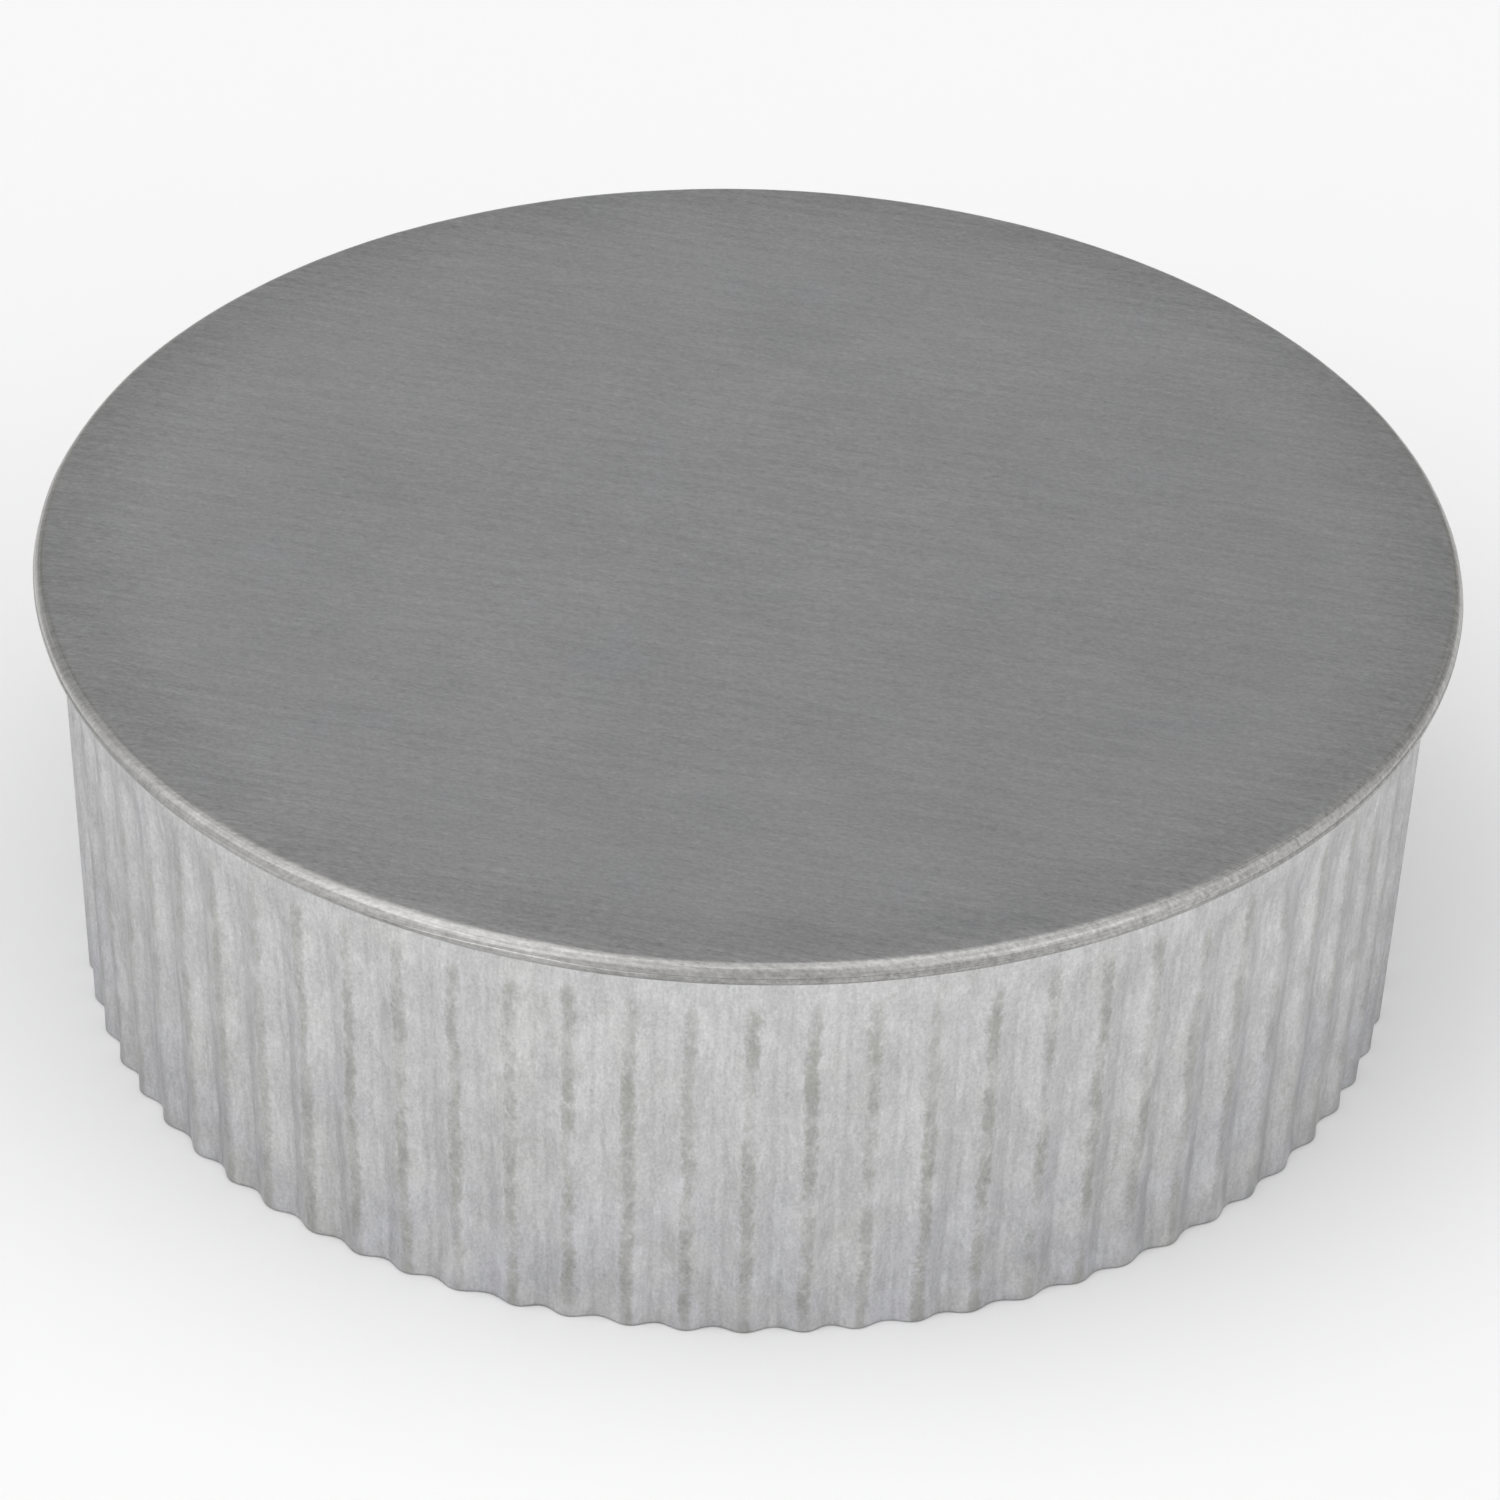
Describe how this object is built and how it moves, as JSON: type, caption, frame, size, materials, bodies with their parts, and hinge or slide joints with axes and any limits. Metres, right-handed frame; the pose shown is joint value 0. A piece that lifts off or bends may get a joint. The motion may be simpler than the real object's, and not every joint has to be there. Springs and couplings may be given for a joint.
{
  "type": "duct end cap",
  "caption": "Round galvanised sheet-steel end cap: a flat disc seamed onto a crimped, slightly tapered collar that slips into the end of a round duct.",
  "frame": {"origin": "centre of the open crimped edge, in the plane that the cap stands on", "axes": "+Z along the collar's axis, from the open crimped edge up to the disc; +X and +Y are any two directions across it, with the strip's lap seam near +Y"},
  "size_m": [0.158, 0.158, 0.052],
  "materials": {
    "disc_steel": "galvanised sheet, fine straight grain across the disc, satin",
    "collar_steel": "galvanised sheet, cloudy matt zinc with rubbed crests"
  },
  "bodies": {
    "root": {"end_disc": "disc_steel", "crimped_collar": "collar_steel"}
  },
  "joints": []
}
